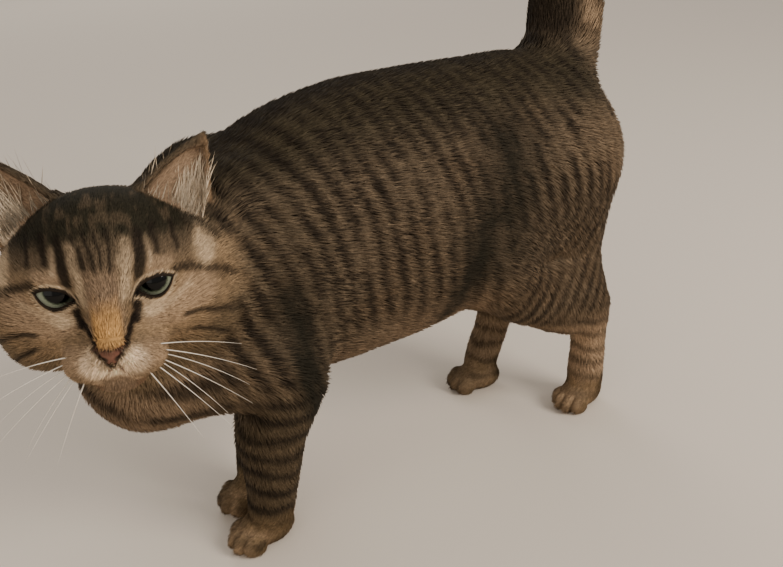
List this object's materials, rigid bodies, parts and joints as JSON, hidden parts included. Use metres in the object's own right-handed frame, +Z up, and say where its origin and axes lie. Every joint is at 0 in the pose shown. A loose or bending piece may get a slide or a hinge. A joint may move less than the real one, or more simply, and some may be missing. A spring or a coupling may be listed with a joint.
{
  "type": "domestic cat",
  "caption": "Life-size still model of a short-haired tabby cat standing on all paws, its head turned to its left and its tail raised.",
  "frame": {"origin": "on the floor, below the middle of the model's box", "axes": "+Z up, the cat's body faces -X and its left side is -Y"},
  "size_m": [0.4043, 0.1554, 0.4909],
  "materials": {
    "coat": "short fur, grey-brown with dark stripes",
    "ear": "thin fur over pink skin",
    "nose": "damp bare skin",
    "eye": "wet and glossy"
  },
  "bodies": {
    "root": {"torso": "coat", "neck": "coat", "tail": "coat", "foreleg_left": "coat", "foreleg_right": "coat", "hindleg_left": "coat", "hindleg_right": "coat", "forepaw_left": "coat", "forepaw_right": "coat", "hindpaw_left": "coat", "hindpaw_right": "coat", "head": "coat", "ear_left": "ear", "ear_right": "ear", "nose": "nose", "eye_left": "eye", "eye_right": "eye"}
  },
  "joints": []
}
